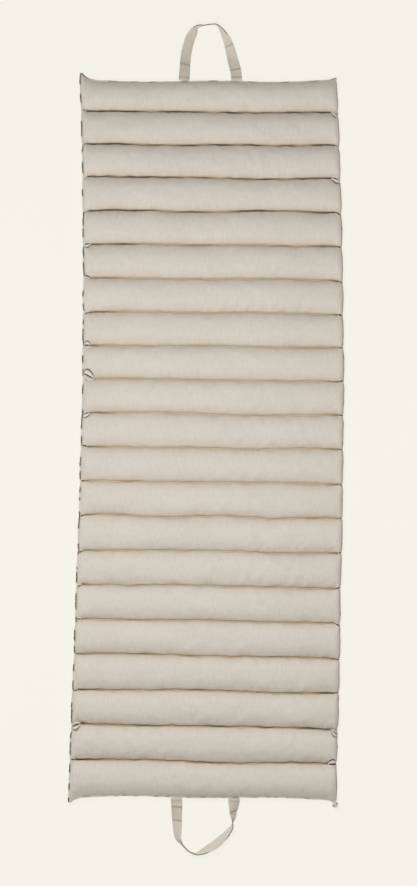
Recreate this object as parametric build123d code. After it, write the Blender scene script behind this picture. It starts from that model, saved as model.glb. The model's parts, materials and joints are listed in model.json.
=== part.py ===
from build123d import *

import math
import os

# A roll-up futon mattress that lies flat: 21 stuffed channels side by side, the seams
# between them, and a strap handle at each end. Millimetres. X runs across the width,
# +Y towards the head end, +Z up. The origin is on the floor under the middle.

# ---- Driving dimensions ----------------------------------------------------------------
BODY_LENGTH = 1800.0        # end seam to end seam
BODY_WIDTH = 650.0          # side seam to side seam
CHANNEL_COUNT = 21
CROWN = 27.0                # a channel's top above the seams
BELLY = 24.0                # a channel's flat underside below the seams
END_ROUNDING = 36.0         # length over which a channel tapers to its side seam
CLOTH = 1.0                 # thickness of the cover cloth
FILLING_GAP = 0.2           # between the cloth and the fibre
THREAD_RADIUS = 1.0         # a seam's row of thread
SEAM_CLEARANCE = 1.5        # from a seam's axis to the cloth on each side of it
ARC_INSET = 0.4             # the crown's arc reaches the seam level this far from the axis

STRAP_WIDTH = 28.0
STRAP_THICKNESS = 2.0
HANDLE_REACH = 142.0        # the strap loop beyond the end seam
HANDLE_SPAN = 135.0         # between the middles of the strap's two ends
STRAP_ROOT_GAP = 2.0        # from the end seam's axis to the strap
STRAP_TAB = 9.0             # flat length at each end of the strap, under its tack
STRAP_SECTIONS = 24         # steps along the strap's loop
LOOP_POWER = 0.85           # 1 makes the loop an ellipse, less makes it squarer
TURN_POWER = 1.5            # how late the strap turns over from flat to its edge
FLOOR_CLEARANCE = 0.1       # under the strap where it stands on its edge
TACK_LENGTH = 22.0
TACK_WIDTH = 3.0
TACK_HEIGHT = 0.8

# ---- Derived sizes ---------------------------------------------------------------------
PITCH = BODY_LENGTH / CHANNEL_COUNT
SEAM_LEVEL = BELLY
HALF_LENGTH = BODY_LENGTH / 2
HALF_WIDTH = BODY_WIDTH / 2
STRAP_ROOT = HALF_LENGTH + STRAP_ROOT_GAP
LOOP_START = STRAP_ROOT + STRAP_TAB
LOOP_DEPTH = HALF_LENGTH + HANDLE_REACH - STRAP_THICKNESS / 2 - LOOP_START
EDGE_LEVEL = STRAP_WIDTH / 2 + FLOOR_CLEARANCE
SMALL_STEP = 1e-4           # share of the loop used to find the strap's direction


def channel_middle(number):
    """Y of a channel's middle. Channel 1 is at the foot end."""
    return -HALF_LENGTH + (number - 0.5) * PITCH


def seam_place(number):
    """Y of the seam on the head side of a channel."""
    return -HALF_LENGTH + number * PITCH


# ---- Channels --------------------------------------------------------------------------
def channel_section(inset):
    """Across the channel: two arcs that meet at the seams, flat where it lies on the floor."""
    half_chord = PITCH / 2 - ARC_INSET
    arc_radius = (half_chord**2 + CROWN**2) / (2 * CROWN)
    arc_offset = arc_radius - CROWN
    crown = CROWN - inset
    belly = BELLY - inset
    depth = PITCH - 2 * (SEAM_CLEARANCE + inset)
    upper_disc = Pos(0, -arc_offset) * Circle(arc_radius - inset)
    lower_disc = Pos(0, arc_offset) * Circle(arc_radius - inset)
    trim = Pos(0, (crown - belly) / 2) * Rectangle(depth, crown + belly)
    return upper_disc & lower_disc & trim


def channel_end(height, rounding):
    """Along the channel: one quarter of an ellipse, its corner at the origin."""
    return Ellipse(rounding, abs(height)) & Pos(rounding / 2, height / 2) * Rectangle(rounding, abs(height))


def channel_profile(inset):
    """Along the channel: level, with ends that round down and up to the side seams."""
    crown = CROWN - inset
    belly = BELLY - inset
    rounding = END_ROUNDING - inset
    level_half = HALF_WIDTH - END_ROUNDING
    right_end = channel_end(crown, rounding) + channel_end(-belly, rounding)
    left_end = Rot(0, 180, 0) * right_end
    level = Pos(0, (crown - belly) / 2) * Rectangle(2 * level_half, crown + belly)
    return level + Pos(level_half, 0) * right_end + Pos(-level_half, 0) * left_end


def channel_form(inset):
    """One stuffed channel about the middle of its seam level, drawn in by inset."""
    tube = extrude(Plane.YZ * channel_section(inset), HALF_WIDTH, both=True)
    ends = extrude(Plane.XZ * channel_profile(inset), PITCH, both=True)
    return tube & ends


def make_cover():
    """The cloth of one channel, hollow."""
    return channel_form(0) - channel_form(CLOTH)


def make_filling():
    """The roll of fibre inside one channel."""
    return channel_form(CLOTH + FILLING_GAP)


# ---- Seams -----------------------------------------------------------------------------
def make_thread(y):
    """One row of thread along a seam, on the line that the seam bends about."""
    return Pos(0, y, SEAM_LEVEL) * Rot(0, 90, 0) * Cylinder(THREAD_RADIUS, BODY_WIDTH)


# ---- Handles ---------------------------------------------------------------------------
def loop_point(share):
    """The middle of the strap at a share of its loop, from its left end to its right end."""
    angle = math.pi * min(max(share, 0), 1)
    across = math.copysign(abs(math.cos(angle)) ** LOOP_POWER, math.cos(angle))
    along = abs(math.sin(angle)) ** LOOP_POWER
    return Vector(-HANDLE_SPAN / 2 * across, LOOP_START + LOOP_DEPTH * along, 0)


def strap_section(share, setback=0):
    """The strap's cross-section: flat at its ends, on its edge at the far end of the loop."""
    run = (loop_point(share + SMALL_STEP) - loop_point(share - SMALL_STEP)).normalized()
    edge_share = abs(math.sin(math.pi * share)) ** TURN_POWER
    turn = math.radians(90) * edge_share
    outward = Vector(-run.Y, run.X, 0)
    face = Vector(0, 0, 1) * math.cos(turn) + outward * math.sin(turn)
    level = SEAM_LEVEL - (SEAM_LEVEL - EDGE_LEVEL) * math.sin(turn)
    middle = loop_point(share) + Vector(0, -setback, level)
    place = Plane(origin=middle, x_dir=run.cross(face), z_dir=run)
    return place * Rectangle(STRAP_WIDTH, STRAP_THICKNESS)


def make_handle():
    """The head end's strap: a flat band, sewn down flat at both ends, that twists into a loop."""
    sections = [strap_section(0, STRAP_TAB)]
    sections += [strap_section(step / STRAP_SECTIONS) for step in range(STRAP_SECTIONS + 1)]
    sections += [strap_section(1, STRAP_TAB)]
    return loft(sections, ruled=True)


def make_tacks():
    """The stitching over each of the head strap's two ends."""
    top = SEAM_LEVEL + STRAP_THICKNESS / 2
    tack = Box(TACK_LENGTH, TACK_WIDTH, TACK_HEIGHT, align=(Align.CENTER, Align.CENTER, Align.MIN))
    middle = STRAP_ROOT + STRAP_TAB / 2
    return Compound([Pos(side * HANDLE_SPAN / 2, middle, top) * tack for side in (-1, 1)])


# ---- Files -----------------------------------------------------------------------------
def write(part, name):
    export_step(part, f"parts/{name}.step")


os.makedirs("parts", exist_ok=True)

cover = make_cover()
filling = make_filling()
for number in range(1, CHANNEL_COUNT + 1):
    place = Pos(0, channel_middle(number), SEAM_LEVEL)
    write(place * cover, f"cover_{number:02d}")
    write(place * filling, f"filling_{number:02d}")

# The two seams of every second channel share a file, so that each seam is written once.
for number in range(2, CHANNEL_COUNT, 2):
    rows = Compound([make_thread(seam_place(number - 1)), make_thread(seam_place(number))])
    write(rows, f"seam_thread_{number:02d}")

foot_end = Rot(0, 0, 180)
handle = make_handle()
tacks = make_tacks()
write(make_thread(HALF_LENGTH), "end_seam_thread_head")
write(make_thread(-HALF_LENGTH), "end_seam_thread_foot")
write(handle, "handle_head")
write(foot_end * handle, "handle_foot")
write(tacks, "handle_tacks_head")
write(foot_end * tacks, "handle_tacks_foot")
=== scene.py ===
import json
import math

import bpy
import numpy as np
from mathutils import Matrix, Vector


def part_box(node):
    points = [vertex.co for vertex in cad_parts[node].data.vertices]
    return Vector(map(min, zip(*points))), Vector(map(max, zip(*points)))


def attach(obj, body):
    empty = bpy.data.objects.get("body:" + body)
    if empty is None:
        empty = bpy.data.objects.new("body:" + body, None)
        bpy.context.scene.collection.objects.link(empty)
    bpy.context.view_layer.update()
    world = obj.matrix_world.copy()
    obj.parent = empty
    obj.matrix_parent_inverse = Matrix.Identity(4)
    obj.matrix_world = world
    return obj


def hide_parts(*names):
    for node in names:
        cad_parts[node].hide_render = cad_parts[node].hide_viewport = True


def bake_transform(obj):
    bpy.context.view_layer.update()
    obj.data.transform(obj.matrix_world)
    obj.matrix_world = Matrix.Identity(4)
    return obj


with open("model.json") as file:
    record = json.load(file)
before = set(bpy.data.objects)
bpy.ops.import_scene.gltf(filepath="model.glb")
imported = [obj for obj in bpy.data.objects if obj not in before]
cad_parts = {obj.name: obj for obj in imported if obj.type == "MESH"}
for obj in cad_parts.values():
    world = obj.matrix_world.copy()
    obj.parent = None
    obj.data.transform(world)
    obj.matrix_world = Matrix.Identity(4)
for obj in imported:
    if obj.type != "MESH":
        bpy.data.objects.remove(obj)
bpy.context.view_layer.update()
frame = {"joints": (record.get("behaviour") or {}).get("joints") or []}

# A channel-stitched roll-up mattress. All lengths are metres, in the frame's axes: X across the
# width, +Y towards the head end, +Z up, the floor at zero.

# ---- Places that come from the frame ----
SEAM_Y = sorted(joint["pos_m"][1] for joint in frame["joints"])
SEAM_Z = frame["joints"][0]["pos_m"][2]
COUNT = len(SEAM_Y) - 1
PITCH = SEAM_Y[1] - SEAM_Y[0]
HALF_LENGTH = SEAM_Y[-1]
COVER_LOW, COVER_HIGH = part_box("cover_01")
HALF_WIDTH = COVER_HIGH.x
CROWN = COVER_HIGH.z - SEAM_Z
BELLY = SEAM_Z - COVER_LOW.z
MM = 0.001

# ---- How this mattress lies ----
SEED = 21
HEAD_TILT = math.radians(0.2)       # the slant of the seams nearest the head end
FOOT_TILT = math.radians(-0.7)      # and of those nearest the foot end
HEAD_EDGE_TILT = math.radians(0.45)
FOOT_EDGE_TILT = math.radians(-0.15)
HEAD_SHIFT = 4 * MM                 # how far the last seams lie towards the head end
SEAM_GAP = 1.5 * MM                 # from a seam line to the cloth of each channel beside it
END_ROUNDING = 17 * MM              # how far from a side seam a channel reaches its full height
WALL_END_ROUNDING = 8 * MM          # and how far from there its walls at the seams do
CROWN_EXPONENT = 2.3                # how flat a channel's top is across it
STRAP_WIDTH = 28 * MM
STRAP_THICKNESS = 2.0 * MM


def random_for(*key):
    """A fixed stream of random numbers for one piece."""
    return np.random.default_rng([SEED, *key])


def ripple(rng, place, shortest, longest, count=4):
    """A smooth random curve from -1 to 1 along place, with waves of these lengths."""
    total = np.zeros_like(place, dtype=float)
    for _ in range(count):
        length = math.exp(rng.uniform(math.log(shortest), math.log(longest)))
        total += np.sin(place * math.tau / length + rng.uniform(0, math.tau))
    return total / count


def ripple_field(rng, across, along, shortest, longest, count=7):
    """A smooth random field from -1 to 1 over two coordinates."""
    total = np.zeros(np.broadcast(across, along).shape)
    for _ in range(count):
        length = math.exp(rng.uniform(math.log(shortest), math.log(longest)))
        heading = rng.uniform(0, math.pi)
        run = across * math.cos(heading) + along * math.sin(heading)
        total += np.sin(run * math.tau / length + rng.uniform(0, math.tau))
    return total / count


def smooth(value):
    """An even step from 0 to 1."""
    value = np.clip(value, 0, 1)
    return value * value * (3 - 2 * value)


def unit(vectors):
    """The vectors' directions."""
    return vectors / np.linalg.norm(vectors, axis=-1, keepdims=True)


# ---- The outline, seen from above ----
def bow(y):
    """How far the mattress's centre line lies to the side: it bends a little."""
    middle, shift, bend = 80 * MM, 10.5 * MM, 18 * MM
    to_head = np.clip((y - middle) / (HALF_LENGTH - middle), 0, None)
    to_foot = np.clip((middle - y) / (HALF_LENGTH + middle), 0, None)
    return shift - bend * (to_head**2 + to_foot**1.35)


def seam_wave(number, x):
    """The wander of a seam line from the line that it bends about."""
    rng = random_for(1, number)
    share = number / COUNT
    tilt = FOOT_TILT + (HEAD_TILT - FOOT_TILT) * share
    wave = tilt * x
    wave = wave + 2.8 * MM * ripple(rng, x, 0.24, 0.7, 3)
    wave = wave + 1.0 * MM * ripple(rng, x, 0.05, 0.12, 4)
    for side in (-1, 1):
        reach = rng.uniform(5, 12) * MM
        hook = rng.uniform(-6.5, 2.0) * MM
        wave = wave + hook * np.exp(-np.clip(HALF_WIDTH - side * x, 0, None) / reach)
    return wave


def end_wave(number, x):
    """An end edge: hollowed a little between its corners and the strap."""
    rng = random_for(2, number)
    outward = 1 if number else -1
    hollow = -3.2 * MM * np.exp(-(((np.abs(x) - 170 * MM) / (85 * MM)) ** 2))
    rise = 2.5 * MM * np.exp(-(HALF_WIDTH - np.abs(x)) / (60 * MM))
    return outward * (hollow + rise + 0.6 * MM * ripple(rng, x, 0.03, 0.3))


def seam_line(number, x):
    """Y of a seam along the width. The foot end's edge is number 0, the head end's is COUNT."""
    if 0 < number < COUNT:
        return SEAM_Y[number] + HEAD_SHIFT * smooth((number - 14) / 4) + seam_wave(number, x)
    tilt = HEAD_EDGE_TILT if number else FOOT_EDGE_TILT
    return SEAM_Y[number] + tilt * x + end_wave(number, x)


def side_edge(side, y):
    """X of the side seam: the bow, a slight wander, and a nip at each cross seam."""
    rng = random_for(3, side + 1)
    wander = 1.6 * MM * ripple(rng, y, 0.08, 0.5) + 0.6 * MM * ripple(rng, y, 0.02, 0.05)
    place = (y + HALF_LENGTH) / PITCH
    nearest = np.abs(place - np.round(place)) * PITCH
    nip = -1.2 * MM * np.exp(-((nearest / (6 * MM)) ** 2))
    return bow(y) + side * (HALF_WIDTH - 0.5 * MM + wander + nip) + (side > 0) * 1.5 * MM


# ---- Meshes ----
def new_object(name, data):
    """An object in the scene that holds this mesh, lamp or camera."""
    thing = bpy.data.objects.new(name, data)
    bpy.context.scene.collection.objects.link(thing)
    return thing


def new_mesh_object(name, vertices, faces, attributes, material):
    """A smooth-shaded mesh object. attributes are per vertex: numbers or vectors."""
    mesh = bpy.data.meshes.new(name)
    mesh.from_pydata([tuple(v) for v in vertices], [], faces)
    for key, values in (attributes or {}).items():
        values = np.asarray(values, dtype=np.float32)
        if values.ndim == 1:
            mesh.attributes.new(key, "FLOAT", "POINT").data.foreach_set("value", values)
        else:
            mesh.attributes.new(key, "FLOAT_VECTOR", "POINT").data.foreach_set("vector", values.ravel())
    mesh.shade_smooth()
    mesh.materials.append(material)
    return new_object(name, mesh)


def tube_faces(rings, sides, first=0, closed_ends=True):
    """Faces of a tube: rings of vertices, sides to a ring."""
    faces = []
    for r in range(rings - 1):
        for c in range(sides):
            a = first + r * sides + c
            b = first + r * sides + (c + 1) % sides
            faces.append((a, b, b + sides, a + sides))
    if closed_ends:
        faces.append(tuple(first + c for c in reversed(range(sides))))
        faces.append(tuple(first + (rings - 1) * sides + c for c in range(sides)))
    return faces


def stacked_grids(shared):
    """Vertex numbers of two grids that have the vertices where shared is true in common."""
    first = np.arange(shared.size).reshape(shared.shape)
    second = first.copy()
    second[~shared] = shared.size + np.arange((~shared).sum())
    return first, second


def stacked_faces(first, second):
    """Quads of both grids, the second one's turned over."""
    faces = []
    for grid, order in ((first, (0, 1, 2, 3)), (second, (0, 3, 2, 1))):
        corners = [grid[:-1, :-1], grid[1:, :-1], grid[1:, 1:], grid[:-1, 1:]]
        faces += np.stack([corners[i].ravel() for i in order], axis=1).tolist()
    return faces


# ---- One channel's shape ----
MIDDLE_STEPS, END_STEPS, HALF_STEPS = 112, 22, 16
END_ZONE = 50 * MM
WALL = 0.27                         # the share of a channel's height that stands as a wall at a seam
WALL_SPREAD = 0.55 * MM
ARC_LENGTH = 1.1                    # cloth over a channel, as a share of the distance between seams


def steps_along():
    """X stations of a channel from -1 to 1 of its half width, closer together at its ends."""
    inner = 1 - END_ZONE / HALF_WIDTH
    right = 1 - (1 - inner) * np.linspace(1, 0, END_STEPS + 1) ** 1.6
    middle = np.linspace(-inner, inner, MIDDLE_STEPS + 1)[1:-1]
    return np.concatenate([-right[::-1], middle, right])


def steps_across():
    """Stations from one seam (-1) to the next (1), closer together at the seams."""
    half = np.linspace(0, 1, HALF_STEPS + 1) ** 1.8
    return np.concatenate([half - 1, 1 - half[-2::-1]])


U = steps_along()
V = steps_across()
NU, NV = len(U), len(V)
UU, VV = np.meshgrid(U, V, indexing="ij")


def end_fall(u, rounding=END_ROUNDING):
    """A channel's height along it, from 0 at the side seam to 1."""
    inward = np.clip((1 - np.abs(u)) * HALF_WIDTH / rounding, 0, 1)
    return (1 - (1 - inward) ** 2.4) ** 0.6


def fullness(u, v):
    """The height of a channel: walls pressed together at the seams under a low crown."""
    to_seam = (1 - np.abs(v)) * PITCH / 2
    wall = 1 - np.exp(-to_seam / WALL_SPREAD)
    crown = np.clip(1 - np.abs(v) ** CROWN_EXPONENT, 0, 1)
    return WALL * wall * end_fall(u, WALL_END_ROUNDING) + (1 - WALL) * crown * end_fall(u)


def open_end(u, v):
    """The height of the first and last channel beside their end seam: no wall stands there."""
    return np.clip(1 - np.abs(v) ** CROWN_EXPONENT, 0, 1) * end_fall(u)


def channel_pattern(number):
    """The heights of a stuffed channel's top and underside about the seam level."""
    rng = random_for(4, number)
    x, y = UU * HALF_WIDTH, VV * PITCH / 2
    rounded = fullness(UU, VV)
    if number in (1, COUNT):
        outer = smooth(2 * VV if number == COUNT else -2 * VV)
        rounded = rounded + (open_end(UU, VV) - rounded) * outer
    lumps = ripple_field(rng, x, 2.0 * y, 0.09, 0.3)
    fine = ripple_field(rng, x, y, 0.02, 0.05)
    to_seam = (1 - np.abs(VV)) * PITCH / 2
    to_side = (1 - np.abs(UU)) * HALF_WIDTH
    near_seam = np.exp(-to_seam / (11 * MM)) * np.clip(to_seam / (1.5 * MM), 0, 1)
    near_side = np.exp(-to_side / (20 * MM)) * np.clip(to_side / (3 * MM), 0, 1)
    pucker = ripple(rng, x + 0.004 * np.sign(VV), 0.012, 0.04, 5)
    gather = ripple(rng, y + 0.15 * to_side * np.sign(y), 0.008, 0.02, 4)
    top = CROWN * rounded * (0.985 + 0.035 * lumps)
    top = top + rounded * 0.3 * MM * fine
    top = top + 0.9 * MM * near_seam * pucker + 1.0 * MM * near_side * gather
    belly = BELLY * np.minimum(1, 1.25 * rounded) - 0.5 * MM * near_seam * (1 + pucker)
    edge = 0.45 * MM * np.clip(to_side / (2 * MM), 0, 1)
    return np.maximum(top, edge), -np.clip(belly, edge, BELLY - 0.3 * MM)


SIM_U = np.linspace(-1, 1, 97)
SIM_HALF = np.linspace(0, 1, 12) ** 1.5
SIM_V = np.concatenate([SIM_HALF - 1, 1 - SIM_HALF[-2::-1]])
SIM_PATTERNS = 4
SIM_FRAMES = 20
SIM_GROWTH = 0.035                  # how much more cloth there is than the smooth shape needs
SIM_PRESSURE = 4.0
WRINKLE_LIMIT = 2.4 * MM            # no point moves further than this
WRINKLE_SHARE = 0.6


def simulated_wrinkles():
    """Cloth simulation of a few stuffed channels: how each one's cloth leaves the smooth shape."""
    u, v = np.meshgrid(SIM_U, SIM_V, indexing="ij")
    shared = np.ones(u.shape, bool)
    shared[1:-1, 1:-1] = False
    first, second = stacked_grids(shared)
    x, y = u * HALF_WIDTH, v * PITCH / 2
    starts, faces, count = [], [], 0
    for pattern in range(SIM_PATTERNS):
        rng = random_for(20, pattern)
        full = 0.9 * fullness(u, v)
        ruffle = 1 + 0.06 * ripple_field(rng, x, y, 0.015, 0.06, 9)
        top = np.stack([x, y, CROWN * full * ruffle], axis=2)
        under = np.stack([x, y, -BELLY * full * ruffle], axis=2)
        points = np.concatenate([top.reshape(-1, 3), under[~shared]])
        starts.append(points)
        faces += stacked_faces(first + count, second + count)
        count += len(points)
    start = np.concatenate(starts)
    material = bpy.data.materials.new("simulated")
    pad = new_mesh_object("simulated_channels", start, faces, None, material)
    pins = pad.vertex_groups.new(name="pins")
    edge = np.concatenate([first[shared] + k * (count // SIM_PATTERNS) for k in range(SIM_PATTERNS)])
    pins.add([int(i) for i in edge], 1.0, "REPLACE")
    cloth = pad.modifiers.new("cloth", "CLOTH")
    settings = cloth.settings
    settings.quality = 6
    settings.mass = 0.2
    settings.tension_stiffness = 20
    settings.compression_stiffness = 20
    settings.shear_stiffness = 5
    settings.bending_stiffness = 0.15
    settings.vertex_group_mass = "pins"
    settings.use_pressure = True
    settings.uniform_pressure_force = SIM_PRESSURE
    settings.shrink_min = -SIM_GROWTH
    settings.effector_weights.gravity = 0
    cloth.point_cache.frame_start = 1
    cloth.point_cache.frame_end = SIM_FRAMES
    scene = bpy.context.scene
    for frame_number in range(1, SIM_FRAMES + 1):
        scene.frame_set(frame_number)
    result = pad.evaluated_get(bpy.context.evaluated_depsgraph_get()).to_mesh()
    moved = np.empty(len(result.vertices) * 3, np.float32)
    result.vertices.foreach_get("co", moved)
    moved = moved.reshape(-1, 3).astype(float)
    mesh = pad.data
    bpy.data.objects.remove(pad)
    bpy.data.meshes.remove(mesh)
    bpy.data.materials.remove(material)
    scene.frame_set(1)
    shift = (moved - start).reshape(SIM_PATTERNS, -1, 3)
    patterns = []
    for one in shift:
        sides = []
        for grid in (first, second):
            field = one[grid]
            middle = np.abs(SIM_U) < 0.8
            usual = field[middle].mean(axis=0, keepdims=True)
            field = (field - usual) * end_fall(u, 12 * MM)[:, :, None]
            length = np.linalg.norm(field, axis=2, keepdims=True)
            field = field * WRINKLE_LIMIT * np.tanh(length / WRINKLE_LIMIT) / np.maximum(length, 1e-9)
            sides.append(resampled(field * WRINKLE_SHARE))
        patterns.append(sides)
    return patterns


def resampled(field):
    """A simulated field, at the stations of the fine mesh."""
    along = np.empty((NU, len(SIM_V), 3))
    for j, k in np.ndindex(len(SIM_V), 3):
        along[:, j, k] = np.interp(U, SIM_U, field[:, j, k])
    fine = np.empty((NU, NV, 3))
    for i, k in np.ndindex(NU, 3):
        fine[i, :, k] = np.interp(V, SIM_V, along[i, :, k])
    return fine


WRINKLES = simulated_wrinkles()


def wrinkles(number):
    """This channel's simulated wrinkles, top and underside: one pattern, turned one of four ways."""
    if WRINKLES is None:
        return 0 * UU[:, :, None], 0 * UU[:, :, None]
    turn = (number // SIM_PATTERNS) % 4
    sides = []
    for field in WRINKLES[number % SIM_PATTERNS]:
        field = field.copy()
        if turn in (1, 2):
            field = field[::-1] * [-1, 1, 1]
        if turn in (2, 3):
            field = field[:, ::-1] * [1, -1, 1]
        sides.append(field)
    return sides


def warp(number, x_share, v):
    """Where a point of a channel lies on the mattress, seen from above."""
    x = x_share * HALF_WIDTH
    low = seam_line(number - 1, x) + SEAM_GAP * (number > 1)
    high = seam_line(number, x) - SEAM_GAP * (number < COUNT)
    y = low + (high - low) * (v + 1) / 2
    left, right = side_edge(-1, y), side_edge(1, y)
    x = left + (right - left) * (x_share + 1) / 2
    x = x + np.sign(x_share) * 1.0 * MM * (1 - v * v) * np.abs(x_share) ** 8
    if number in (1, COUNT):
        inward = 1 if number == 1 else -1
        to_corner = (1 - np.abs(x_share)) * HALF_WIDTH
        spread, reach = ear_shape(number, x_share)
        pull = np.exp(-to_corner / spread) * np.clip((1 - inward * v) / 2, 0, 1) ** 3
        y = y - inward * reach * pull
        x = x + np.sign(x_share) * 0.1 * reach * pull
    return x, y


def ear_shape(number, x_share):
    """How wide and how long the pointed ears at an end channel's corners are."""
    left = np.asarray(x_share) < 0
    if number == COUNT:
        return np.where(left, 13 * MM, 16 * MM), np.where(left, 19 * MM, 6 * MM)
    return np.where(left, 13 * MM, 7 * MM), np.where(left, 13 * MM, 9 * MM)


def seam_shade(number, x):
    """How much painted shade goes into the gap at a seam along it: the seams near both ends of the
    mattress get it all the way, the others at their own ends, and further in on the left."""
    rng = random_for(11, number)
    near_head = 1.35 * smooth((number - 15) / 2)
    near_foot = (0.4 + 0.6 * math.exp(-(((number - 2) / 0.8) ** 2))) * (number < 5)
    reach = np.where((x < 0) & (number > 7), 90 * MM, 45 * MM)
    at_side = np.exp(-(HALF_WIDTH - np.abs(x)) / reach)
    uneven = ripple(rng, x, 0.08, 0.4)
    inside = 1.0 if 0 < number < COUNT else 0.0
    near_ends = 0.7 * (near_head + near_foot) * (1 + 0.3 * uneven)
    return inside * np.clip(0.05 + near_ends + 1.1 * at_side + 0.6 * uneven, 0, 1.4)


def surface_normals(points, up):
    """Unit normals over a grid of points, on the side that up says."""
    normal = np.cross(np.gradient(points, axis=0), np.gradient(points, axis=1))
    normal /= np.maximum(np.linalg.norm(normal, axis=2, keepdims=True), 1e-12)
    return normal * up


class Channel:
    """The points of one channel's cloth, and what its material needs there."""

    def __init__(self, number):
        top, under = channel_pattern(number)
        x, y = warp(number, UU, VV)
        inside = (np.abs(UU) < 1) * 1.0
        top_wrinkles, under_wrinkles = wrinkles(number)
        self.top = np.stack([x, y, SEAM_Z + top * inside], axis=2) + top_wrinkles
        self.under = np.stack([x, y, SEAM_Z + under * inside], axis=2) + under_wrinkles
        self.top[:, :, 2] = self.top[:, :, 2].clip(None, SEAM_Z + CROWN + 0.6 * MM)
        self.under[:, :, 2] = self.under[:, :, 2].clip(0.3 * MM, None)
        arc = (0.75 * VV + 0.35 * np.sin(VV * math.pi / 2)) * PITCH / 2
        self.cloth = np.stack([UU * HALF_WIDTH, arc + number * PITCH * ARC_LENGTH, 0 * UU], axis=2)
        to_seam = (1 - np.abs(VV)) * PITCH / 2
        # Painted light and shade at the seams: a painted dark line in each seam gap, as dark as seam_shade
        # says, and beside it a painted warm glow that stands for bounce light.
        shade = np.where(VV < 0, seam_shade(number - 1, x), seam_shade(number, x))
        line = (0.15 + shade) * np.exp(-((to_seam / (0.9 * MM)) ** 2))
        self.crease = line + 0.33 * np.exp(-to_seam / (9 * MM))
        self.top_normals = surface_normals(self.top, 1)
        self.under_normals = surface_normals(self.under, -1)


CHANNELS = {number: Channel(number) for number in range(1, COUNT + 1)}
CROWN_ROW = HALF_STEPS


def cloth_rows(number):
    """The rows of cloth from one channel's crown over a seam to the next channel's crown."""
    parts = []
    if number > 0:
        parts.append((CHANNELS[number], slice(CROWN_ROW, NV)))
    if number < COUNT:
        parts.append((CHANNELS[number + 1], slice(0, CROWN_ROW + 1)))
    rows = {}
    for key in ("top", "under", "cloth", "crease", "top_normals", "under_normals"):
        rows[key] = np.concatenate([getattr(channel, key)[:, cut] for channel, cut in parts], axis=1)
    return rows


def make_cloth(number, material):
    """The cover over one seam, top and underside, from crown to crown, or over an end."""
    rows = cloth_rows(number)
    count = rows["crease"].shape[1]
    shared = np.zeros((NU, count), bool)
    shared[[0, -1], :] = True
    open_rows = [0, count - 1]
    if number == 0:
        shared[:, 0] = True
        open_rows = [count - 1]
    if number == COUNT:
        shared[:, -1] = True
        open_rows = [0]

    def both(top, under):
        return np.concatenate([top.reshape(NU * count, -1), under[~shared].reshape((~shared).sum(), -1)])

    attributes = {
        "cloth": both(rows["cloth"], rows["cloth"]),
        "crease": both(rows["crease"], rows["crease"]).ravel(),
    }
    cover = new_mesh_object(f"cloth_{number:02d}", both(rows["top"], rows["under"]),
                            stacked_faces(*stacked_grids(shared)), attributes, material)
    normals = np.zeros((NU, count, 3))
    under_normals = normals.copy()
    for row in open_rows:
        normals[1:-1, row] = rows["top_normals"][1:-1, row]
        under_normals[1:-1, row] = rows["under_normals"][1:-1, row]
    cover.data.normals_split_custom_set_from_vertices(both(normals, under_normals).tolist())
    follow_seam(cover, number)
    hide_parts(*[f"cover_{n:02d}" for n in (number, number + 1) if 1 <= n <= COUNT])


def follow_seam(piece, number):
    """A piece on an end edge rides along with its end channel. One on a seam stays in place, its transform
    baked into its mesh.
    """
    if number in (0, COUNT):
        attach(piece, f"channel_{max(number, 1):02d}")
        return
    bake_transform(piece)


# ---- The fibre inside a channel ----
def make_stuffing(number, material):
    """A loose roll of fibre that fills the cover a few millimetres inside its cloth."""
    rows, sides = 44, 18
    rng = random_for(5, number)
    share = np.linspace(-1, 1, rows)[:, None]
    angle = np.linspace(0, math.tau, sides, endpoint=False)[None, :]
    across, length, thick = 0.74, 0.955, 0.68        # as shares of the channel's own
    v = across * np.cos(angle) * np.ones_like(share)
    fall = end_fall(share * 0.985) * np.ones_like(angle)
    lump = 1 + 0.05 * ripple_field(rng, share * HALF_WIDTH, angle * 0.02, 0.03, 0.1)
    height = np.where(np.sin(angle) > 0, CROWN, BELLY) * thick * fall * lump * np.sin(angle)
    x, y = warp(number, share * length * np.ones_like(angle), v * fall)
    points = np.stack([x, y, SEAM_Z + height], axis=2).reshape(-1, 3)
    stuffing = new_mesh_object(f"fibre_{number:02d}", points, tube_faces(rows, sides), None, material)
    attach(stuffing, f"channel_{number:02d}")
    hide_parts(f"filling_{number:02d}")


# ---- Stitches ----
# A stitch's rings: how far along its half length, how thick and how high, in radii.
STITCH_ARCH = [(-1.0, 0.25, -0.7), (-0.75, 1.0, 0.15), (0.0, 1.1, 0.5), (0.75, 1.0, 0.15),
               (1.0, 0.25, -0.7)]
STITCH_PITCH = 5.6 * MM
STITCH_LENGTH = 4.4 * MM
STITCH_RADIUS = 0.42 * MM


def make_stitches(name, frames, thread, length=STITCH_LENGTH, radius=STITCH_RADIUS):
    """A piece of arched stitches. frames hold each one's middle, run and up."""
    sides = 6
    vertices, faces = [], []
    for middle, run, up in frames:
        side = np.cross(up, run)
        first = len(vertices)
        for along, fat, lift in STITCH_ARCH:
            centre = middle + run * along * length / 2 + up * lift * radius
            for corner in range(sides):
                angle = corner * math.tau / sides
                vertices.append(centre + radius * fat * (side * math.cos(angle) + up * math.sin(angle)))
        faces += tube_faces(len(STITCH_ARCH), sides, first)
    return new_mesh_object(name, vertices, faces, None, thread)


def frames_along(points, ups, spacing, start=0.5):
    """Evenly spaced middles along a line of points, with its run and up there."""
    points, ups = np.asarray(points), np.asarray(ups)
    steps = np.linalg.norm(np.diff(points, axis=0), axis=1)
    reach = np.concatenate([[0], np.cumsum(steps)])
    places = np.arange(start * spacing, reach[-1], spacing)
    frames = []
    for place in places:
        i = min(int(np.searchsorted(reach, place, side="right")) - 1, len(steps) - 1)
        share = (place - reach[i]) / max(steps[i], 1e-9)
        middle = points[i] * (1 - share) + points[i + 1] * share
        run = (points[i + 1] - points[i]) / max(steps[i], 1e-9)
        up = ups[i] * (1 - share) + ups[i + 1] * share
        up = up - run * float(up @ run)
        frames.append((middle, run, unit(up)))
    return frames


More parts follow.
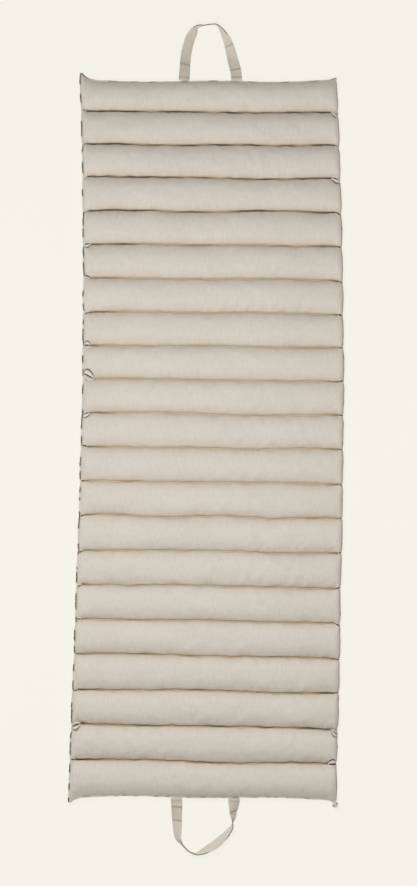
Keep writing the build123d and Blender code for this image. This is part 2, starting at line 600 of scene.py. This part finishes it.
# ---- Cross seams ----
# A sewn edge's section: shares of its width, outwards, and of its thickness, upwards.
STRIP_OUTLINE = [(-0.5, 0), (-0.4, 0.42), (0.1, 0.5), (0.2, 0.4), (0.42, 0.32), (0.5, 0),
                 (0.4, -0.42), (-0.4, -0.42)]


def flat_strip(middles, acrosses, ups, width, thickness):
    """A closed strip of cloth along a line, with rounded long edges."""
    vertices = []
    for middle, across, up in zip(middles, acrosses, ups):
        for a, b in reversed(STRIP_OUTLINE):
            vertices.append(middle + across * a * width + up * b * thickness)
    return vertices, tube_faces(len(middles), len(STRIP_OUTLINE))


def make_cross_seam(number, thread):
    """The stitches along a seam between two channels, on both faces."""
    side_gap, depth = 2 * MM, 0.7 * MM
    x = np.linspace(-HALF_WIDTH, HALF_WIDTH, 150)
    y = seam_line(number, x)
    shown_x = x / HALF_WIDTH * (HALF_WIDTH - side_gap) + bow(y)
    line = np.stack([shown_x, y, np.full_like(x, SEAM_Z)], axis=1)
    up = np.tile([0.0, 0.0, 1.0], (len(x), 1))
    rows = []
    for face in (1, -1):
        rows += frames_along(line + face * up * depth, face * up, STITCH_PITCH, 0.5 + 0.25 * face)
    row = make_stitches(f"seam_stitches_{number:02d}", rows, thread)
    follow_seam(row, number)
    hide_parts(f"seam_thread_{number + number % 2:02d}")


# ---- Side and end edges ----
def edge_line(number, side):
    """The side seam's line from one channel's crown over a seam to the next channel's."""
    points = []
    for channel, start, stop in ((number, 0, 1), (number + 1, -1, 0)):
        if 1 <= channel <= COUNT:
            v = np.linspace(start, stop, 22)
            x, y = warp(channel, np.full_like(v, float(side)), v)
            points.append(np.stack([x, y, np.full_like(v, SEAM_Z)], axis=1))
    return np.concatenate(points)


def make_side_seam(number, side, cloth, thread):
    """The narrow sewn edge of the cover past one seam: its outer part painted with dark dashes of shadow,
    as if gaps showed beside it, its inner part painted paler.
    """
    rng = random_for(7, number, side + 1)
    name = "left" if side < 0 else "right"
    shift, broad, dash_shadow_threshold = (1.4 * MM, 6.4 * MM, -0.05) if side < 0 else (0.2 * MM, 3.8 * MM, 0.55)
    line = edge_line(number, side)
    x, y = line[:, 0], line[:, 1]
    line = line + np.stack([side * shift + 0 * x, 0 * x, 1.0 * MM * ripple(rng, y, 0.012, 0.05)], axis=1)
    run = unit(np.gradient(line, axis=0))
    up = unit(np.tile([-side * 0.25, 0, 1.0], (len(x), 1)))
    across = np.cross(up, run)
    across *= np.sign(across[:, :1]) * side
    width = (1.0 + 0.2 * ripple(rng, y, 0.015, 0.05))[:, None]
    vertices, faces = flat_strip(line, across * width, up, broad, 1.4 * MM)
    if side < 0:
        faces = [face[::-1] for face in faces]
    cloth_place = np.repeat(np.stack([0 * x, y, 0 * x], axis=1), len(STRIP_OUTLINE), axis=0)
    # Painted shadow: dark dashes along the outer part of the strip; its inner part gets a pale painted
    # highlight.
    painted_dash_shadow = smooth(6 * (ripple(rng, y, 0.03, 0.09, 3) - dash_shadow_threshold))
    outer = np.array([1.0 if a > 0.05 else 0.0 for a, _ in reversed(STRIP_OUTLINE)])
    crease = (2 * painted_dash_shadow[:, None] * outer[None, :] - 0.9 * (1 - outer[None, :])).ravel()
    edge = new_mesh_object(f"side_edge_{name}_{number:02d}", vertices, faces,
                           {"cloth": cloth_place, "crease": crease}, cloth)
    seam = line + across * 1.0 * MM
    depth, pitch = 0.75 * MM, 7.5 * MM
    rows = frames_along(seam + up * depth, up, pitch) + frames_along(seam - up * depth, -up, pitch, 0.9)
    row = make_stitches(f"side_stitches_{name}_{number:02d}", rows, thread, 5.0 * MM, 0.45 * MM)
    for piece, slot in ((edge, "cover_cloth"), (row, "thread")):
        follow_seam(piece, number)


def make_end_seam(number, name, cloth, thread):
    """The sewn edge across one end of the mattress."""
    outward = 1 if number else -1
    channel = COUNT if number else 1
    u = np.linspace(-1, 1, 170)
    x, y = warp(channel, u, np.full_like(u, float(outward)))
    rng = random_for(8, number)
    line = np.stack([x, y + outward * 0.8 * MM, SEAM_Z + 0.8 * MM * ripple(rng, x, 0.03, 0.1)], axis=1)
    up = np.tile([0.0, 0.0, 1.0], (len(u), 1))
    across = np.cross(up, unit(np.gradient(line, axis=0)))
    vertices, faces = flat_strip(line, across, up, 3.4 * MM, 1.6 * MM)
    cloth_place = np.repeat(np.stack([x, 0 * x, 0 * x], axis=1), len(STRIP_OUTLINE), axis=0)
    # Painted shade: dark patches at random along the edge, darker still towards the head end's left corner.
    crease = 1.5 * smooth(3 * ripple(rng, x, 0.02, 0.09))
    crease = crease + 1.2 * np.exp(-(HALF_WIDTH + x).clip(0) / (12 * MM)) * (number > 0)
    edge = new_mesh_object(f"end_edge_{name}", vertices, faces,
                           {"cloth": cloth_place, "crease": np.repeat(crease, len(STRIP_OUTLINE))}, cloth)
    rows = []
    for face in (1, -1):
        rows += frames_along(line + face * up * 0.8 * MM, face * up, STITCH_PITCH)
    row = make_stitches(f"end_stitches_{name}", rows, thread)
    for piece, slot in ((edge, "cover_cloth"), (row, "thread")):
        follow_seam(piece, number)
    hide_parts(f"end_seam_thread_{name}")


# ---- Tucks at the ends of the cross seams ----
FOLD_SIDES = 10


def fold_tube(points, radii, first=0):
    """A soft rounded fold along a line of points. first is the number of its first vertex."""
    vertices = []
    for middle, along, radius in zip(points, unit(np.gradient(points, axis=0)), radii):
        side = np.cross([0, 0, 1.0], along)
        side /= max(np.linalg.norm(side), 1e-9)
        up = np.cross(along, side)
        for corner in range(FOLD_SIDES):
            angle = corner * math.tau / FOLD_SIDES
            vertices.append(middle + radius * (side * math.cos(angle) + 0.8 * up * math.sin(angle)))
    return vertices, tube_faces(len(points), FOLD_SIDES, first)


# Seam ends with more spare cloth than the others, from the foot end: (seam, size, lean).
LEFT_TUCKS = [(2, 1.1, -0.3), (10, 0.8, 0.4), (11, 1.0, -0.6), (12, 1.45, 0.8), (13, 0.95, 0.2),
              (15, 0.85, 0.7), (16, 0.95, -0.2)]
RIGHT_TUCKS = [(1, 1.15, 0.3), (2, 0.95, -0.7), (5, 0.8, -0.4), (14, 0.75, 0.3), (17, 0.85, -0.5),
               (18, 1.25, -0.6), (20, 1.0, -0.8)]


def rise_beside(number, path):
    """How high the cloth stands above the seam level under a path of points near a cross seam."""
    x = path[:, 0] - bow(path[:, 1])
    from_seam = np.abs(path[:, 1] - seam_line(number, path[:, 0]))
    v = 1 - np.clip(from_seam, 3 * MM, PITCH / 2) / (PITCH / 2)
    return CROWN * fullness(x / HALF_WIDTH, v)


def make_tuck(number, side, cloth):
    """The small folds where a cross seam's spare cloth is caught at the side seam."""
    rng = random_for(9, number, side + 1)
    size, lean = rng.uniform(0.5, 0.7), rng.uniform(-0.6, 0.6)
    for seam, its_size, its_lean in LEFT_TUCKS if side < 0 else RIGHT_TUCKS:
        if seam == number:
            size, lean = its_size, its_lean
    length = 17 * MM * size
    root_y = float(seam_line(number, np.array(side * (HALF_WIDTH - length))))
    edge_y = float(seam_line(number, np.array(side * HALF_WIDTH)))
    edge_x = float(side_edge(side, np.array(edge_y)))
    root = np.array([edge_x - side * length, root_y, SEAM_Z])
    tip = np.array([edge_x + side * 1.0 * MM, edge_y, SEAM_Z])
    share = np.linspace(0, 1, 14)
    swell = np.sin(np.clip(share, 0.04, 0.95) * math.pi) ** 0.55
    # Each fold: how far beside the seam, how high over the cloth, how thick, and its painted shading: below
    # 0 a pale painted highlight, near 2 a dark tube that stands for the shadow between the folds.
    folds = [(-1.0, 0.6, 2.3, -0.3), (1.0, 1.0, 2.3, -0.3), (0.0, 1.5, 1.6, 1.9)]
    if size > 0.9:
        folds += [(-0.5, 2.6, 1.9, -0.8), (-1.7, 1.4, 1.3, 1.8)]
    vertices, faces, crease = [], [], []
    for where, above, thick, tone in folds:
        path = root[None, :] * (1 - share[:, None]) + tip[None, :] * share[:, None]
        bulge = 0.25 + np.sin(share * math.pi * rng.uniform(0.8, 1.0))
        toward = -1 if lean > 0 else 1
        path[:, 1] += (where * toward * 4.6 + lean * 3.0) * size * MM * bulge
        path[:, 1] += lean * 11 * MM * size * share**2
        path[:, 2] += rise_beside(number, path) + above * MM
        more, more_faces = fold_tube(path, size * thick * MM * swell, len(vertices))
        faces += more_faces
        vertices += more
        crease += [tone] * len(more)
    name = "left" if side < 0 else "right"
    tuck = new_mesh_object(f"seam_tuck_{name}_{number:02d}", vertices, faces,
                           {"cloth": np.asarray(vertices), "crease": np.asarray(crease)}, cloth)
    follow_seam(tuck, number)


def make_corner_knot(cloth):
    """The foot end's right corner: its spare cloth is twisted into a small knot."""
    turns, first_turn = 1.35, 2.2
    x, y = warp(1, np.array(1.0), np.array(-1.0))
    centre = np.array([float(x) - 1 * MM, float(y) - 3 * MM, SEAM_Z - 4 * MM])
    share = np.linspace(0, 1, 26)
    turn = share * math.tau * turns + first_turn
    spread = (5.6 - 2.6 * share) * MM
    path = centre + np.stack([spread * np.cos(turn), spread * np.sin(turn), 5 * MM * share], axis=1)
    radius = 3.3 * MM * np.sin(np.clip(share, 0.08, 0.94) * math.pi) ** 0.5
    vertices, faces = fold_tube(path, radius)
    # Painted shade: dark bands along the twist, the cloth between them a little paler with painted
    # highlight.
    crease = np.where(np.sin(turn * 2) > 0.5, 1.3, -0.2)
    knot = new_mesh_object("corner_knot", vertices, faces,
                           {"cloth": np.asarray(vertices), "crease": np.repeat(crease, FOLD_SIDES)}, cloth)
    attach(knot, "channel_01")


# ---- Strap handles ----
# Each strap's middle line, from its left end to its right end as seen facing out over that end: X
# and the distance out from the end seam, in millimetres, and its turn from lying flat, in degrees.
HEAD_STRAP = [
    (-71, 2.2, 0), (-70, 16, -4), (-69, 46, -18), (-66, 80, -22), (-59, 110, -30), (-48, 134, -50),
    (-37, 147, -92), (-20, 152, -110), (2, 155, -111), (14, 151, -100), (29, 131, -72), (41, 108, -48),
    (49, 82, -30), (57, 50, -10), (62, 26, 0), (64, 2.2, 0),
]
FOOT_STRAP = [
    (-70, 2.2, 0), (-70, 12, 8), (-70, 24, 34), (-69, 38, 50), (-69, 52, 70), (-68, 64, 88),
    (-64, 76, 102), (-52, 92, 114), (-32, 110, 124), (-11, 124, 120), (8, 134, 104), (24, 138, 86),
    (40, 132, 80), (50, 123, 80), (58, 114, 76), (66, 100, 56), (68, 82, 42), (69, 62, 32),
    (70, 42, 22), (70, 22, 12), (71, 2.2, 0),
]
HEAD_CREASES = (10, 48, 268, 336, 358)       # millimetres along the strap from its left end
FOOT_CREASES = (34, 288, 322)
STRAP_RINGS = 150
TACK_STITCHES = 24                  # stitches side by side across each end of a strap
TACK_SHARE = 0.78                   # of the strap's width
# The strap's section: shares of its width across it, and of its thickness above its middle.
STRAP_ACROSS = np.array([-0.5, -0.48, -0.40, -0.37, -0.2, 0, 0.2, 0.37, 0.40, 0.48, 0.5])
STRAP_THICK = np.array([0.15, 0.52, 0.56, 0.44, 0.47, 0.46, 0.47, 0.44, 0.56, 0.52, 0.15])


def catmull_rom(points, count):
    """Even steps along a smooth curve through the points, in all their coordinates."""
    points = np.asarray(points, float)
    padded = np.vstack([2 * points[0] - points[1], points, 2 * points[-1] - points[-2]])
    dense = []
    for i in range(len(points) - 1):
        before, start, end, after = padded[i:i + 4]
        for t in np.linspace(0, 1, 24, endpoint=False):
            dense.append(0.5 * (2 * start + (end - before) * t
                                + (2 * before - 5 * start + 4 * end - after) * t**2
                                + (3 * start - before - 3 * end + after) * t**3))
    dense = np.array(dense + [points[-1]])
    reach = np.concatenate([[0], np.cumsum(np.linalg.norm(np.diff(dense[:, :2], axis=0), axis=1))])
    places = np.linspace(0, reach[-1], count)
    return np.stack([np.interp(places, reach, column) for column in dense.T], axis=1), places


def strap_frames(controls, outward, creases, rng):
    """The strap's middle, run, width and face directions at each ring."""
    path, places = catmull_rom(np.array(controls) * [MM, MM, math.pi / 180], STRAP_RINGS)
    turn = path[:, 2]
    plan_run = unit(np.gradient(path[:, :2], axis=0))
    out = np.stack([-plan_run[:, 1], plan_run[:, 0], 0 * turn], axis=1)
    face = np.array([0, 0, 1.0]) * np.cos(turn)[:, None] + out * np.sin(turn)[:, None]
    drop = smooth(path[:, 1] / 0.085)
    resting = STRAP_WIDTH / 2 * np.abs(np.sin(turn)) + STRAP_THICKNESS / 2 + 0.4 * MM
    level = np.maximum(SEAM_Z * (1 - drop) + 4 * MM * drop, resting)
    kernel = np.hanning(9) / np.hanning(9).sum()
    level = np.convolve(np.pad(level, 4, mode="edge"), kernel, mode="valid")
    level = np.maximum(level, resting)
    level = level + 0.5 * MM * (1 + ripple(rng, places, 0.02, 0.06)) * smooth(path[:, 1] / 0.03)
    for crease in creases:
        near = np.exp(-(((places - crease * MM) / (2.2 * MM)) ** 2))
        level = level + 1.7 * MM * near * np.cos(turn)
    middle = np.stack([path[:, 0], HALF_LENGTH + path[:, 1], level], axis=1)
    run = unit(np.gradient(middle, axis=0))
    width = unit(np.cross(run, face))
    face = np.cross(width, run)
    if outward < 0:
        flip = np.array([-1, -1, 1])
        middle, run, width, face = middle * flip, run * flip, width * flip, face * flip
    return middle, run, width, face, places


def make_strap(name, controls, outward, creases, cloth, thread):
    """One strap handle, the stitches along its edges, and the tacks at its two ends."""
    rng = random_for(10, outward + 1)
    middle, run, width, face, places = strap_frames(controls, outward, creases, rng)
    # Painted shade: a dark band just before each crease, and dark rims where the strap turns edge-on.
    shade = sum(0.7 * np.exp(-(((places - (crease - 2) * MM) / (1.6 * MM)) ** 2)) for crease in creases)
    painted_edge_shade = 0.9 * smooth((np.abs(width[:, 2]) - 0.86) / 0.07)
    section = list(zip(STRAP_ACROSS, STRAP_THICK))
    section += list(zip(STRAP_ACROSS[-2:0:-1], -STRAP_THICK[-2:0:-1]))
    cup = ripple(rng, places, 0.04, 0.12)
    vertices, cloth_place = [], []
    for i in range(len(middle)):
        for a, t in section:
            curl = 1.1 * MM * cup[i] * (a * a - 0.08) * 4
            wobble = 0.35 * MM * math.sin(places[i] / (7 * MM) + 9 * a)
            lift = t * STRAP_THICKNESS + (curl + wobble * (1 - 4 * a * a)) * min(1, places[i] / (20 * MM))
            vertices.append(middle[i] + width[i] * a * STRAP_WIDTH + face[i] * lift)
            cloth_place.append((a * STRAP_WIDTH, places[i], 0))
    rim = np.array([1.0 if abs(a) > 0.45 else 0.0 for a, _ in section])
    crease = (shade[:, None] + painted_edge_shade[:, None] * rim[None, :]).ravel()
    faces = tube_faces(len(middle), len(section))
    strap = new_mesh_object(f"strap_{name}", vertices, faces,
                            {"cloth": cloth_place, "crease": crease}, cloth)
    body = f"{name}_strap"
    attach(strap, body)
    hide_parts(f"handle_{name}")
    rows = []
    for edge in (-0.42, 0.42):
        for side in (1, -1):
            line = middle + width * edge * STRAP_WIDTH + face * side * 0.5 * STRAP_THICKNESS
            rows += frames_along(line, face * side, 4.6 * MM)
    edging = make_stitches(f"strap_stitches_{name}", rows, thread, 3.4 * MM, 0.3 * MM)
    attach(edging, body)
    tacks = []
    for end in (0, -1):
        inward = 1 if end == 0 else -1
        row_middle = middle[end] + run[end] * inward * 6.5 * MM + face[end] * 0.62 * STRAP_THICKNESS
        for k in range(TACK_STITCHES):
            shift = (k / (TACK_STITCHES - 1) - 0.5) * TACK_SHARE * STRAP_WIDTH
            lean = 0.25 if k % 2 else -0.25
            heading = unit(run[end] + width[end] * lean)
            tacks.append((row_middle + width[end] * shift, heading, face[end]))
    tack = make_stitches(f"strap_tacks_{name}", tacks, thread, 4.2 * MM, 0.42 * MM)
    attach(tack, body)
    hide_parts(f"handle_tacks_{name}")


# ---- Materials ----
def new_material(name):
    """A node material, with its node tree and its shader."""
    material = bpy.data.materials.new(name)
    material.use_nodes = True
    tree = material.node_tree
    return material, tree, tree.nodes["Principled BSDF"]


def set_inputs(node, **values):
    """Sets a node's sockets by name, with underscores for the spaces."""
    for key, value in values.items():
        node.inputs[key.replace("_", " ")].default_value = value


def add(tree, kind, output, inputs, **settings):
    """A new node's output. inputs are sockets or constants, by the node's names or numbers."""
    node = tree.nodes.new(kind)
    for key, value in settings.items():
        setattr(node, key, value)
    for key, value in inputs.items():
        if isinstance(value, bpy.types.NodeSocket):
            tree.links.new(value, node.inputs[key])
        else:
            node.inputs[key].default_value = value
    return node.outputs[output]


def arithmetic(tree, operation, a, b):
    return add(tree, "ShaderNodeMath", 0, {0: a, 1: b}, operation=operation)


def scaled(tree, vector, scale):
    """A vector times a scale for each axis."""
    return add(tree, "ShaderNodeVectorMath", 0, {0: vector, 1: scale}, operation="MULTIPLY")


def noise(tree, vector, detail=2.0, roughness=0.5):
    """Smooth noise from 0 to 1 at a place."""
    inputs = {"Vector": vector, "Scale": 1.0, "Detail": detail, "Roughness": roughness}
    return add(tree, "ShaderNodeTexNoise", "Fac", inputs)


def bands(tree, vector, direction, period):
    """Fine parallel threads, one each period."""
    inputs = {"Vector": vector, "Scale": math.tau / 20 / period, "Distortion": 0.0, "Detail": 0.0}
    return add(tree, "ShaderNodeTexWave", "Fac", inputs, wave_type="BANDS", bands_direction=direction)


def mix_colour(tree, factor, first, second):
    """The first colour where factor is 0, the second where it is 1."""
    return add(tree, "ShaderNodeMix", 2, {0: factor, 6: first, 7: second}, data_type="RGBA")


def ranged(tree, value, low, high, to_low=0.0, to_high=1.0):
    """A value moved from one range to another, and kept within it."""
    inputs = {"Value": value, "From Min": low, "From Max": high, "To Min": to_low, "To Max": to_high}
    return add(tree, "ShaderNodeMapRange", "Result", inputs)


def add_bump(tree, shader, height, strength, distance):
    """Relief on a material's surface."""
    inputs = {"Height": height, "Strength": strength, "Distance": distance}
    tree.links.new(add(tree, "ShaderNodeBump", "Normal", inputs), shader.inputs["Normal"])


THREAD_PITCH = 0.75 * MM
# Painted light on the cloth: a pale painted highlight for folds and edges, and a near-black painted shadow
# for gaps.
PAINTED_HIGHLIGHT = (0.86, 0.84, 0.80, 1)
PAINTED_GAP_SHADOW = (0.035, 0.026, 0.017, 1)


def cloth_material(name, light, dark, painted_shade_tone, slub):
    """Plain-woven linen and cotton: crossing threads, long slubs, uneven tone. An attribute paints light
    and shade on it: a painted highlight at -1, the painted shade tone at 1 and a painted gap shadow at 2."""
    material, tree, shader = new_material(name)
    place = add(tree, "ShaderNodeAttribute", "Vector", {}, attribute_name="cloth")
    crease = add(tree, "ShaderNodeAttribute", "Fac", {}, attribute_name="crease")
    long_slubs = noise(tree, scaled(tree, place, (620, 34, 1)), 3.0)
    cross_slubs = noise(tree, scaled(tree, place, (30, 540, 1)), 2.0)
    broad = noise(tree, scaled(tree, place, (7, 11, 1)), 2.0)
    mottle = noise(tree, scaled(tree, place, (110, 80, 1)), 3.0)
    threads = [bands(tree, place, direction, THREAD_PITCH) for direction in "XY"]
    centred = [arithmetic(tree, "SUBTRACT", one, 0.5) for one in threads]
    weave = arithmetic(tree, "MULTIPLY", centred[0], centred[1])
    tone = arithmetic(tree, "MULTIPLY", weave, 0.9)
    for pattern, strength in ((long_slubs, slub), (cross_slubs, 0.45 * slub), (broad, 0.45), (mottle, 0.4)):
        share = arithmetic(tree, "MULTIPLY", ranged(tree, pattern, 0.3, 0.7, -0.5, 0.5), strength)
        tone = arithmetic(tree, "ADD", tone, share)
    tone = ranged(tree, tone, -0.8, 0.8)
    colour = mix_colour(tree, tone, dark, light)
    # Painted light and shade from the attribute: painted highlight, painted shade tone, painted gap shadow.
    colour = mix_colour(tree, ranged(tree, crease, 0, -1), colour, PAINTED_HIGHLIGHT)
    colour = mix_colour(tree, ranged(tree, crease, 0, 1), colour, painted_shade_tone)
    colour = mix_colour(tree, ranged(tree, crease, 1, 2), colour, PAINTED_GAP_SHADOW)
    tree.links.new(colour, shader.inputs["Base Color"])
    tree.links.new(ranged(tree, long_slubs, 0.3, 0.7, 0.84, 0.97), shader.inputs["Roughness"])
    set_inputs(shader, Sheen_Weight=0.12, Sheen_Roughness=0.55, Specular_IOR_Level=0.22)
    height = arithmetic(tree, "MULTIPLY", weave, 2.2)
    for pattern, strength in ((long_slubs, 0.9 * slub), (cross_slubs, 0.6 * slub)):
        height = arithmetic(tree, "ADD", height, arithmetic(tree, "MULTIPLY", pattern, strength))
    add_bump(tree, shader, height, 0.5, 0.35 * MM)
    return material


def thread_material(name, light, dark):
    """Two-ply cotton thread: fine slanting plies."""
    material, tree, shader = new_material(name)
    place = add(tree, "ShaderNodeTexCoord", "Object", {})
    plies = bands(tree, scaled(tree, place, (1, 1.4, 1)), "DIAGONAL", 0.6 * MM)
    tone = noise(tree, scaled(tree, place, (90, 90, 90)))
    blend = arithmetic(tree, "MULTIPLY", arithmetic(tree, "ADD", plies, tone), 0.5)
    tree.links.new(mix_colour(tree, blend, dark, light), shader.inputs["Base Color"])
    set_inputs(shader, Roughness=0.75, Sheen_Weight=0.1)
    add_bump(tree, shader, plies, 0.6, 0.1 * MM)
    return material


def fibre_material():
    """Loose kapok: tangled pale fibre."""
    material, tree, shader = new_material("kapok_fibre")
    place = add(tree, "ShaderNodeTexCoord", "Object", {})
    tangle = noise(tree, scaled(tree, place, (120, 260, 260)), 6.0, 0.7)
    colour = mix_colour(tree, tangle, (0.55, 0.47, 0.33, 1), (0.86, 0.80, 0.66, 1))
    tree.links.new(colour, shader.inputs["Base Color"])
    set_inputs(shader, Roughness=0.95, Sheen_Weight=0.3)
    add_bump(tree, shader, tangle, 0.8, 2 * MM)
    return material


# ---- The object ----
# The third colour of each cloth is painted shade: for the cover a warm tan of painted shade and bounce
# light at the seams, for the straps a dark painted shade at their creases and edges.
CLOTH = cloth_material("natural_cloth", (0.735, 0.708, 0.660, 1), (0.635, 0.605, 0.555, 1),
                       (0.62, 0.505, 0.36, 1), slub=1.0)
STRAP_CLOTH = cloth_material("strap_cloth", (0.70, 0.665, 0.60, 1), (0.60, 0.565, 0.50, 1),
                             (0.2, 0.15, 0.1, 1), slub=0.8)
THREAD = thread_material("cotton_thread", (0.66, 0.60, 0.49, 1), (0.50, 0.44, 0.34, 1))
FIBRE = fibre_material()

for number in range(COUNT + 1):
    make_cloth(number, CLOTH)
    for side in (-1, 1):
        make_side_seam(number, side, CLOTH, THREAD)
for number in range(1, COUNT + 1):
    make_stuffing(number, FIBRE)
for number in range(1, COUNT):
    make_cross_seam(number, THREAD)
    for side in (-1, 1):
        make_tuck(number, side, CLOTH)
make_end_seam(0, "foot", CLOTH, THREAD)
make_end_seam(COUNT, "head", CLOTH, THREAD)
make_corner_knot(CLOTH)
make_strap("head", HEAD_STRAP, 1, HEAD_CREASES, STRAP_CLOTH, THREAD)
make_strap("foot", FOOT_STRAP, -1, FOOT_CREASES, STRAP_CLOTH, THREAD)


# ---- Floor, light and camera ----
PAPER = (0.922, 0.896, 0.823, 1)
FLOOR_SHADOWS = 0.08                # how much of the floor's tone comes from the lights


def make_floor():
    """A pale floor that curves up far behind the object into a low backdrop all round."""
    reach, cove, height, sides = 12, 3, 5.0, 72
    arc = np.linspace(0, math.pi / 2, 12)
    profile = [(reach - cove + cove * math.sin(a), cove * (1 - math.cos(a))) for a in arc]
    profile.append((reach, height))
    corners = []
    for radius, level in profile:
        for k in range(sides):
            turn = k * math.tau / sides
            corners.append((radius * math.cos(turn), radius * math.sin(turn), level))
    faces = [face[::-1] for face in tube_faces(len(profile), sides, closed_ends=False)]
    faces.append(tuple(range(sides)))
    material, tree, shader = new_material("floor")
    set_inputs(shader, Base_Color=PAPER, Roughness=1.0, Specular_IOR_Level=0.0)
    place = add(tree, "ShaderNodeTexCoord", "Object", {})
    level = add(tree, "ShaderNodeSeparateXYZ", "Z", {0: place})
    strength = ranged(tree, level, 0, height, 1.0, 0.7)
    glow = add(tree, "ShaderNodeEmission", 0, {"Color": PAPER, "Strength": strength})
    mixed = add(tree, "ShaderNodeMixShader", 0, {0: FLOOR_SHADOWS, 1: glow, 2: shader.outputs[0]})
    tree.links.new(mixed, tree.nodes["Material Output"].inputs["Surface"])
    floor = new_mesh_object("floor", corners, faces, None, material)


def add_area_light(name, place, target, size, power, colour):
    """A round lamp whose light doesn't weaken with distance."""
    light = bpy.data.lights.new(name, "AREA")
    light.shape = "DISK"
    light.size = size
    light.energy = power
    light.color = colour
    lamp = new_object(name, light)
    lamp.location = place
    aim_at(lamp, place, target)
    lamp.visible_camera = False
    light.use_nodes = True
    tree = light.node_tree
    constant = add(tree, "ShaderNodeLightFalloff", "Constant", {"Strength": 1.0})
    tree.links.new(constant, tree.nodes["Emission"].inputs["Strength"])


def aim_at(thing, place, target, roll=0.0):
    """Turns a lamp or camera at place towards target."""
    direction = Vector(target) - Vector(place)
    facing = direction.to_track_quat("-Z", "Y").to_matrix()
    thing.rotation_euler = (facing @ Matrix.Rotation(roll, 3, "Z")).to_euler()


make_floor()
world = bpy.data.worlds.new("studio")
world.use_nodes = True
set_inputs(world.node_tree.nodes["Background"], Color=PAPER, Strength=0.225)
bpy.context.scene.world = world
add_area_light("key", (-0.22, -0.08, 1.75), (-0.22, -0.08, 0), 0.40, 6.95, (1.0, 0.965, 0.915))
add_area_light("right_fill", (3.0, -0.2, 1.3), (0, 0, 0), 1.6, 0.55, (1.0, 0.93, 0.84))
add_area_light("left_fill", (-3.0, 0.2, 1.3), (0, 0, 0), 1.6, 1.0, (0.86, 0.90, 1.0))

CAMERA_HEIGHT = 3.62
CAMERA_LEAN = math.radians(5.0)
CAMERA_ROLL = math.radians(0.5)
VIEW_HEIGHT = 2.233                 # metres of floor that the picture's height spans
camera_data = bpy.data.cameras.new("camera")
camera_data.sensor_fit = "VERTICAL"
camera_data.sensor_height = 24
camera_data.lens = camera_data.sensor_height * CAMERA_HEIGHT / VIEW_HEIGHT
camera = new_object("camera", camera_data)
CAMERA_TARGET = (0.0, -0.029, SEAM_Z)
camera_y = CAMERA_TARGET[1] - CAMERA_HEIGHT * math.sin(CAMERA_LEAN)
camera.location = (0, camera_y, CAMERA_HEIGHT * math.cos(CAMERA_LEAN))
aim_at(camera, camera.location, CAMERA_TARGET, CAMERA_ROLL)
bpy.context.scene.camera = camera
bpy.context.scene.view_settings.view_transform = "Standard"
